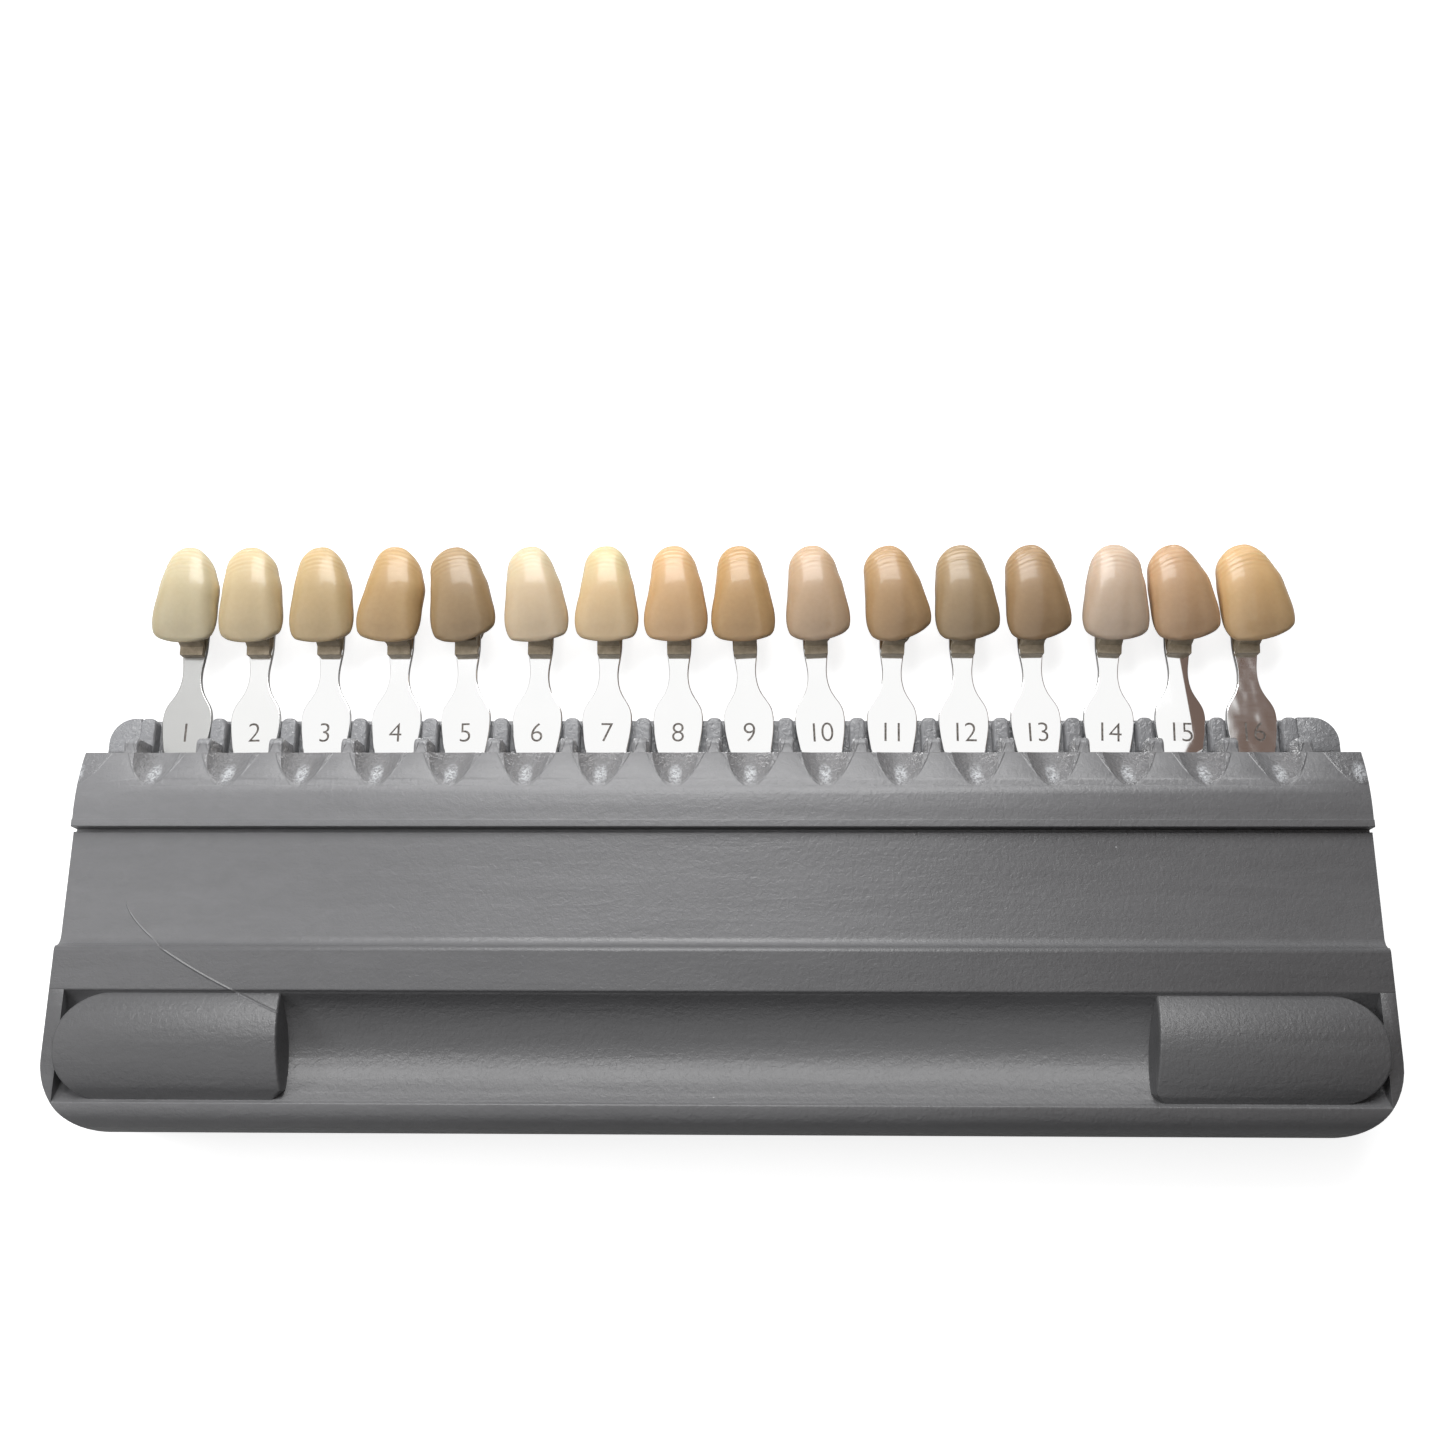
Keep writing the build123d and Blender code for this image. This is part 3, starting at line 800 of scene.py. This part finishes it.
@dataclass
class ToothForm:
    """Form of an upper front tooth, biting edge down, with its back on Z = 0.

    Attributes:
        length: From biting edge to neck, in millimetres.
        thickness: Greatest thickness, in millimetres.
        squareness: How square the cross-section is; 2 is an ellipse.
        side: Where the side edge lies between back and front, from 0 to 1.
        ring_depth: Depth of the growth rings near the neck, in millimetres.
        groove_depth: Depth of the two upright grooves, in millimetres.
        edge_cap: Share of the length that rounds the biting edge.
        neck_cap: Share of the length that rounds the neck.
        edge_bend: Share of the length over which front and back meet at the biting edge.
        neck_bend: The same at the neck.
        rings: Steps along the tooth.
        segments: Steps round the tooth.
        left: Half width on the left as a share of half the width, along the tooth.
        right: The same on the right.
        front: Front of the tooth as a share of the thickness, along the tooth.
        back: Back of the tooth as a share of the thickness, along the tooth.
    """

    length: float = 15.35
    thickness: float = 4.6
    squareness: float = 2.5
    side: float = 0.38
    ring_depth: float = 0.075
    groove_depth: float = 0.06
    edge_cap: float = 0.06
    neck_cap: float = 0.17
    edge_bend: float = 0.05
    neck_bend: float = 0.16
    rings: int = 84
    segments: int = 80
    left: list = field(default_factory=lambda: [
        (0.0, 0.60), (0.02, 0.67), (0.05, 0.79), (0.10, 0.925), (0.20, 1.0), (0.30, 0.995),
        (0.40, 0.94), (0.50, 0.865), (0.60, 0.81), (0.70, 0.755), (0.80, 0.71), (0.88, 0.645),
        (0.94, 0.60), (1.0, 0.56)])
    right: list = field(default_factory=lambda: [
        (0.0, 0.60), (0.02, 0.68), (0.05, 0.80), (0.10, 0.92), (0.20, 0.985), (0.30, 0.985),
        (0.40, 0.94), (0.50, 0.89), (0.60, 0.84), (0.70, 0.75), (0.80, 0.68), (0.88, 0.585),
        (0.94, 0.52), (1.0, 0.46)])
    front: list = field(default_factory=lambda: [
        (0.0, 0.55), (0.05, 0.61), (0.20, 0.81), (0.40, 0.965), (0.60, 1.0), (0.80, 0.94),
        (0.90, 0.86), (1.0, 0.70)])
    back: list = field(default_factory=lambda: [
        (0.0, 0.43), (0.05, 0.32), (0.20, 0.10), (0.40, 0.0), (0.60, 0.0), (0.80, 0.07),
        (0.90, 0.22), (1.0, 0.52)])

    def reach(self, share: float, hand: int, build: ToothBuild) -> float:
        """Half width of the tooth on one side, in millimetres.

        Args:
            share: Place along the tooth, 0 at the biting edge and 1 at the neck.
            hand: 0 for the left side, 1 for the right one.
            build: How this tooth departs from the common outline.

        Returns:
            The half width.
        """
        table = self.right if hand else self.left
        extra = (build.corner[hand] * math.exp(-((share - 0.045) / 0.035) ** 2)
                 + build.waist[hand] * math.exp(-((share - 0.62) / 0.21) ** 2)
                 + build.neck[hand] * math.exp(-((share - 0.84) / 0.13) ** 2))
        climb = max(0.0, share - 1 + self.neck_cap) / self.neck_cap
        top = max(0.0, 1 - climb ** 2.3) ** 0.44
        low = math.sqrt(max(0.0, 1 - (max(0.0, self.edge_cap - share) / self.edge_cap) ** 2))
        return (build.width / 2 * blend(table, share) + extra) * top * low

    def depth(self, share: float, table: list) -> float:
        """Depth of the front or back at a place along the tooth, in millimetres."""
        climb = max(0.0, share - (1 - self.neck_bend)) / self.neck_bend
        top = math.sqrt(max(0.0, 1 - climb ** 2))
        low = math.sqrt(max(0.0, 1 - (max(0.0, self.edge_bend - share) / self.edge_bend) ** 2))
        middle = (blend(self.front, share) + blend(self.back, share)) / 2
        return self.thickness * (middle + (blend(table, share) - middle) * min(top, low))

    def relief(self, across: float, share: float, seed: float) -> float:
        """Height of the growth rings and grooves on the front, in millimetres.

        Args:
            across: Place across the tooth, from -1 to 1.
            share: Place along the tooth.
            seed: Number that makes this tooth's rings its own.

        Returns:
            The relief, below 0 in a groove.
        """
        bowed = share + 0.12 * across * across + 0.008 * math.sin(4 * across + seed)
        zone = smooth((bowed - 0.66) / 0.16) * smooth((1.04 - bowed) / 0.08)
        rings = 0.65 * math.sin(math.tau * bowed / 0.052 + seed)
        rings += 0.35 * math.sin(math.tau * bowed / 0.031 + 2.3 * seed)
        centre = 0.36 - 0.10 * share
        upright = sum(math.exp(-((across - place) / 0.15) ** 2) for place in (-centre, centre))
        long_zone = smooth((share - 0.02) / 0.12) * smooth((0.64 - share) / 0.30)
        return self.ring_depth * zone * rings - self.groove_depth * upright * long_zone

    def shape(self, build: ToothBuild, seed: float) -> bmesh.types.BMesh:
        """Shape one tooth out of a sphere.

        Args:
            build: How this tooth departs from the common outline.
            seed: Number that makes this tooth's rings its own.

        Returns:
            The bmesh, in metres, with its middle at Y = 0.
        """
        tooth = bmesh.new()
        bmesh.ops.create_uvsphere(tooth, u_segments=self.segments, v_segments=self.rings,
                                  radius=1.0)
        power = 2 / self.squareness
        spots = {}
        for vertex in tooth.verts:
            x, y, z = vertex.co
            share = 1 - math.acos(min(max(z, -1.0), 1.0)) / math.pi
            share -= 0.10 * math.sin(math.tau * share)
            ring = math.hypot(x, y)
            across, outward = (x / ring, y / ring) if ring > 1e-6 else (0.0, 0.0)
            half = self.reach(share, int(across > 0), build)
            flat = math.copysign(abs(across) ** power, across)
            rise = abs(outward) ** power
            front, back = self.depth(share, self.front), self.depth(share, self.back)
            middle = back + (front - back) * self.side
            if outward > 0:
                depth = middle + (front - middle) * rise
                depth += self.relief(flat, share, seed) * smooth(outward / 0.35)
            else:
                depth = middle - (middle - back) * rise
            side = 2 * half * flat / build.width
            climb = (max(0.0, side + 0.35) / 1.35) ** 1.2
            lift = build.slant * climb * math.exp(-(share / 0.20) ** 2)
            vertex.co = Vector((half * flat, self.length * (share - 0.5) + lift, depth)) * MM
            spots[vertex] = (0.5 + side / 2, share)
        chart = tooth.loops.layers.uv.new(TOOTH_MAP)
        for face in tooth.faces:
            for loop in face.loops:
                loop[chart].uv = spots[loop.vert]
        return tooth


@dataclass
class ShadeTab:
    """One pull-out tab: stamped handle, number, backing and tooth.

    Attributes:
        facts: What is particular to this tab.
        form: Form of its tooth.
        steel: Material of the handle.
        ink: Material in the stamped number, dark as painted shade in its groove.
        resin: Material of the backing.
        edge_round: Rounding of the stamped edges, in millimetres.
        number_height: Height of the stamped number, in millimetres.
        number_depth: Depth of the stamped number, in millimetres.
        number_middle: Height of the number's middle in the model, in millimetres.
        font_size: Size of the font over the height of its figures.
        thinning: How much thinner the strokes are than the font's, in millimetres.
        pad_trim: How much narrower the backing is behind the tooth, as a share.
    """

    facts: TabFacts
    form: ToothForm
    steel: bpy.types.Material
    ink: bpy.types.Material
    resin: bpy.types.Material
    edge_round: float = 0.19
    number_height: float = 3.3
    number_depth: float = 0.12
    number_middle: float = 28.2
    font_size: float = 1.32
    thinning: float = 0.05
    pad_trim: float = 0.22

    def build_tooth(self) -> bpy.types.Object:
        """Build the tooth on its place in the model and return it."""
        tooth = self.form.shape(self.facts.build, 1.7 * self.facts.number)
        place = self.facts.tooth_place(self.form.length)
        bmesh.ops.transform(tooth, matrix=place, verts=tooth.verts)
        shade = ToothShade(f"tooth_shade_{self.facts.number:02d}", self.facts.shade)
        piece = new_piece(f"{self.facts.body}_shaded_tooth", tooth, shade.build(), 75.0)
        self.fit(piece, Row.TOOTH)
        return piece

    def build_number(self, thickness: float, lift: float, name: str) -> bpy.types.Object:
        """Build the tab's number as a solid on the face of the handle.

        Args:
            thickness: Thickness of the figures, in millimetres.
            lift: Height of their middle above the face, in millimetres.
            name: Name of the object.

        Returns:
            The object.
        """
        text = bpy.data.curves.new(name, "FONT")
        text.body = str(self.facts.number)
        text.size = self.number_height * MM * self.font_size
        text.align_x, text.align_y = "CENTER", "CENTER"
        text.extrude, text.resolution_u, text.offset = thickness / 2 * MM, 6, -self.thinning * MM
        if self.facts.number > 9:
            text.space_character = 0.92
        source = bpy.data.objects.new(name, text)
        bpy.context.scene.collection.objects.link(source)
        ready = source.evaluated_get(bpy.context.evaluated_depsgraph_get())
        figures = bmesh.new()
        figures.from_mesh(ready.to_mesh())
        bpy.data.objects.remove(source)
        face_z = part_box(self.facts.node(Row.HANDLE))[1][2]
        middle = Matrix.Translation((0, self.number_middle * MM, face_z + lift * MM))
        bmesh.ops.remove_doubles(figures, verts=figures.verts, dist=MERGE_GAP)
        bmesh.ops.transform(figures, matrix=self.facts.place() @ middle, verts=figures.verts)
        return new_piece(name, figures, self.ink, 20.0)

    def build_handle(self) -> list[bpy.types.Object]:
        """Build the stamped handle with rounded edges and its number and return both."""
        handle = softened(self.facts.node(Row.HANDLE), self.edge_round, 50.0)
        plain = new_piece(f"{self.facts.body}_plain_handle", handle, self.steel, 30.0)
        punch = self.build_number(2 * self.number_depth, 0.0, f"{self.facts.body}_punch")
        stamp = plain.modifiers.new("stamp", "BOOLEAN")
        stamp.operation, stamp.solver, stamp.object = "DIFFERENCE", "EXACT", punch
        stamp.use_self = True
        ready = plain.evaluated_get(bpy.context.evaluated_depsgraph_get())
        struck = bmesh.new()
        struck.from_mesh(ready.to_mesh())
        for spare in (plain, punch):
            bpy.data.objects.remove(spare)
        smoothing = 30.0 if self.facts.number == len(SHADES) - 1 else 14.0
        piece = new_piece(f"{self.facts.body}_stamped_handle", struck, self.steel, smoothing)
        self.fit(piece, Row.HANDLE)
        # The number is a dark inlay inside the stamped groove: painted shade.
        number = self.build_number(self.number_depth * 0.5, -0.72 * self.number_depth,
                                   f"{self.facts.body}_number")
        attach(number, self.facts.body)
        return [piece, number]

    def build_backing(self) -> bpy.types.Object:
        """Build the backing with soft edges and return it."""
        backing = softened(self.facts.node(Row.BACKING), 0.22, 45.0)
        place = self.facts.tooth_place(self.form.length)
        foot = -self.form.length / 2 * MM
        for vertex in backing.verts:
            local = place.inverted() @ vertex.co
            local.x *= 1 - self.pad_trim * smooth((local.y - foot) / (1.2 * MM))
            vertex.co = place @ local
        piece = new_piece(f"{self.facts.body}_soft_backing", backing, self.resin, 35.0)
        self.fit(piece, Row.BACKING)
        return piece

    def fit(self, piece: bpy.types.Object, row: Row) -> None:
        """Attach a piece to its body and hide the model node that it stands for."""
        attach(piece, self.facts.body)
        self.facts.slot(row)
        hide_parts(self.facts.node(row))

    def build(self) -> list[bpy.types.Object]:
        """Build all the pieces of the tab and return them."""
        pieces = [*self.build_handle(), self.build_backing(), self.build_tooth()]
        LOG.info("tab %d: %s", self.facts.number, ", ".join(piece.name for piece in pieces))
        return pieces


@dataclass
class Holder:
    """The moulded holder: front shell and rear cover.

    Attributes:
        finish: Its plastic.
        edge_round: Rounding of the moulded edges, in millimetres.
    """

    finish: MouldedPlastic = field(default_factory=MouldedPlastic)
    edge_round: float = 0.16

    def build(self) -> list[bpy.types.Object]:
        """Build the holder's pieces with soft edges and return them."""
        plastic = self.finish.build()
        pieces = []
        for node in ("front_shell", "rear_cover"):
            shape = softened(node, self.edge_round, 38.0, 2)
            piece = new_piece(f"moulded_{node}", shape, plastic, 28.0)
            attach(piece, "holder")
            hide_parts(node)
            pieces.append(piece)
            LOG.info("holder: %s", piece.name)
        return pieces


@dataclass
class Studio:
    """Floor, world, lamps and the camera of the photograph.

    Attributes:
        floor_size: Side of the floor, in metres.
        eye: Camera's place, in millimetres.
        turn: Camera's turn about X, Y and Z, in degrees.
        lens: Focal length for a frame 36 mm wide.
        window_glow: Light of a window low behind the tabs, seen in gloss only.
        dark_side: Colour of the unlit right side of the room, seen in gloss only.
        ambient: Strength of the world's light on matte surfaces.
    """

    floor_size: float = 6.0
    eye: tuple[float, float, float] = (5.024, -24.965, 214.099)
    turn: tuple[float, float, float] = (14.579, 1.164, 0.244)
    lens: float = 35.543
    window_glow: float = 2.2
    dark_side: Colour = (0.17, 0.12, 0.10)
    ambient: float = 0.18

    def build_camera(self) -> bpy.types.Object:
        """Place the camera and return it."""
        data = bpy.data.cameras.new("photo_camera")
        data.lens, data.sensor_width, data.clip_start = self.lens, 36.0, 0.01
        camera = bpy.data.objects.new("photo_camera", data)
        camera.location = Vector(self.eye) * MM
        camera.rotation_euler = Euler([math.radians(angle) for angle in self.turn])
        bpy.context.scene.collection.objects.link(camera)
        bpy.context.scene.camera = camera
        return camera

    def build_floor(self) -> bpy.types.Object:
        """Build the floor under the holder and return it."""
        sheet = bmesh.new()
        bmesh.ops.create_grid(sheet, x_segments=2, y_segments=2, size=self.floor_size / 2)
        bmesh.ops.translate(sheet, vec=(0, 0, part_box("rear_cover")[0][2]), verts=sheet.verts)
        floor = new_piece("studio_floor", sheet, StudioSweep().build())
        return floor

    def build_lamp(self, name: str, place: tuple[float, float, float], size: float,
                   power: float) -> bpy.types.Object:
        """Build one square soft lamp aimed at the holder.

        Args:
            name: Name of the lamp.
            place: Its place, in metres.
            size: Its side, in metres.
            power: Its power, in watts.

        Returns:
            The lamp.
        """
        data = bpy.data.lights.new(name, "AREA")
        data.size, data.energy = size, power
        lamp = bpy.data.objects.new(name, data)
        lamp.location = place
        lamp.rotation_euler = (-Vector(place)).to_track_quat("-Z", "Y").to_euler()
        bpy.context.scene.collection.objects.link(lamp)
        return lamp

    def build_world(self) -> None:
        """Build a world that is white to the camera, a lit room to gloss and dimmer as a lamp."""
        world = bpy.data.worlds.new("studio_world")
        world.use_nodes = True
        made = Nodes(world.node_tree)
        way = made.split(made.add("ShaderNodeTexCoord").outputs["Generated"])
        height = made.ramp(way["Z"], [(0.0, 0.04), (0.45, 0.06), (0.68, 1.0)])
        across = made.ramp(made.math("MULTIPLY_ADD", way["X"], 0.5, 0.5), [
            (0.0, 1.0), (0.650, 1.0), (0.656, self.dark_side)])
        room = made.mix(1.0, height, across, "MULTIPLY")
        window = made.add("ShaderNodeMapRange")
        window.inputs["From Min"].default_value = 0.80
        window.inputs["To Max"].default_value = self.window_glow
        made.join(way["Y"], window.inputs["Value"])
        bright = made.mix(1.0, room, window.outputs["Result"], "ADD")
        soft = made.ramp(made.math("MULTIPLY_ADD", way["Y"], 0.5, 0.5), [
            (0.1, self.ambient * 0.25), (0.5, self.ambient * 0.9), (0.9, self.ambient * 1.9)])
        path = made.add("ShaderNodeLightPath").outputs
        lit = made.mix(path["Is Glossy Ray"], soft, bright)
        background = made.tree.nodes["Background"]
        made.join(made.mix(path["Is Camera Ray"], lit, (1.0, 1.0, 1.0)),
                  background.inputs["Color"])
        background.inputs["Strength"].default_value = 1.0
        bpy.context.scene.world = world

    def build(self) -> None:
        """Build the whole studio."""
        self.build_camera()
        self.build_floor()
        self.build_world()
        self.build_lamp("key_lamp", (-0.04, 0.46, 0.52), 0.42, 3.3)
        side = self.build_lamp("left_lamp", (-0.36, 0.04, 0.28), 0.16, 0.85)
        side.visible_glossy = False
        bpy.context.scene.view_settings.view_transform = "Standard"
        LOG.info("studio: camera, floor, world and two lamps")


# One entry for each tab, from the left: body colour and outline of the tooth, then the tab's
# place beside its post, its lean, the tooth's roll and its shift, as TabFacts describes them
SHADES = [srgb(*rgb) for rgb in (
    (204, 189, 153), (205, 183, 142), (197, 170, 125), (192, 158, 110), (166, 138, 100),
    (218, 193, 157), (223, 192, 146), (211, 171, 123), (192, 153, 103), (196, 165, 132),
    (179, 144, 102), (163, 137, 102), (163, 132, 95), (200, 175, 150), (190, 153, 115),
    (206, 168, 118))]
BUILDS = [
    ToothBuild((-0.1, 0.0), (0.3, 0.65), (-0.15, 0.1)),
    ToothBuild((-0.2, -0.4), (0.4, 0.4), (0.2, 0.35)),
    ToothBuild((0.1, -0.2), (0.3, 0.4), (0.0, 0.0)),
    ToothBuild((0.0, 0.0), (0.05, 0.85), (-0.2, 0.3)),
    ToothBuild((-0.3, -0.2), (0.35, 0.25), (0.4, 0.1), 10.0, 0.7),
    ToothBuild((0.2, 0.1), (0.35, 0.0), (0.2, -0.15)),
    ToothBuild((0.0, 0.1), (0.05, 0.0), (0.0, 0.0)),
    ToothBuild((0.1, 0.0), (0.0, 0.05), (0.05, 0.0)),
    ToothBuild((-0.1, 0.0), (0.0, 0.0), (0.0, 0.05)),
    ToothBuild((-0.3, -0.2), (0.25, 0.05), (0.2, 0.1), 9.85, 0.5),
    ToothBuild((-0.1, -0.3), (0.35, 0.05), (0.35, -0.1), 10.0, 1.0),
    ToothBuild((0.0, -0.1), (0.45, 0.1), (0.25, 0.0), 9.85, 0.6),
    ToothBuild((-0.1, -0.2), (0.5, 0.1), (0.35, -0.1), 9.85, 0.9),
    ToothBuild((-0.2, -0.2), (0.35, 0.3), (0.0, 0.4), 10.1, 0.5),
    ToothBuild((-0.2, -0.2), (0.6, 0.35), (0.25, -0.25), 10.2, 0.3),
    ToothBuild((0.1, -0.2), (0.55, 0.35), (0.25, -0.1), 10.9, 0.3)]
ASIDES = [0.05, -0.1, -0.1, -0.05, -0.1, -0.1, -0.25, -0.15, 0.1, 0.05, -0.2, -0.1, 0.15, -0.05,
          0, 0.1]
LEANS = [-0.5, 0.5, 0, 0, 1.2, -0.5, -0.6, 0, 3, 2.6, -1.4, -0.8, 1.1, -3, -2, 0]
ROLLS = [-1.4, 3.2, 2.8, -4.2, 9.5, 6.4, 0.9, 2.1, 3.9, 5, 8.7, 4.8, 5.8, -1.6, 9, 11]
SHIFTS = [-0.78, -1.02, -1.09, -1.13, -0.8, -0.81, -0.38, -0.51, -0.12, 0.35, 0.11, 0.19, 0.73,
          0.46, -0.06, 0.62]


def main() -> None:
    """Build the holder, its tabs and the studio."""
    logging.basicConfig(level=logging.INFO, format="%(name)s %(message)s")
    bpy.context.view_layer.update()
    Holder().build()
    # Tab 1's steel has drawn lines and a darker tint that is painted shade for its dimmer
    # reflection.
    drawn = PolishedSteel("drawn_shaded_steel", (0.56, 0.56, 0.55), 0.24, 0.7, 2.0).build()
    rubbed = PolishedSteel("rubbed_steel", (0.90, 0.90, 0.89), 0.14, 0.5, 24.0).build()
    dented = PolishedSteel("dented_steel", dents=0.9).build()
    steel, ink, resin = PolishedSteel().build(), StampedFigure().build(), BackingResin().build()
    metals = [drawn, rubbed] + [steel] * (len(SHADES) - 3) + [dented]
    for index, row in enumerate(zip(SHADES, BUILDS, ASIDES, LEANS, ROLLS, SHIFTS)):
        ShadeTab(TabFacts(index + 1, *row), ToothForm(), metals[index], ink, resin).build()
    Studio().build()


if __name__ == "__main__":
    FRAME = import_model()
    main()
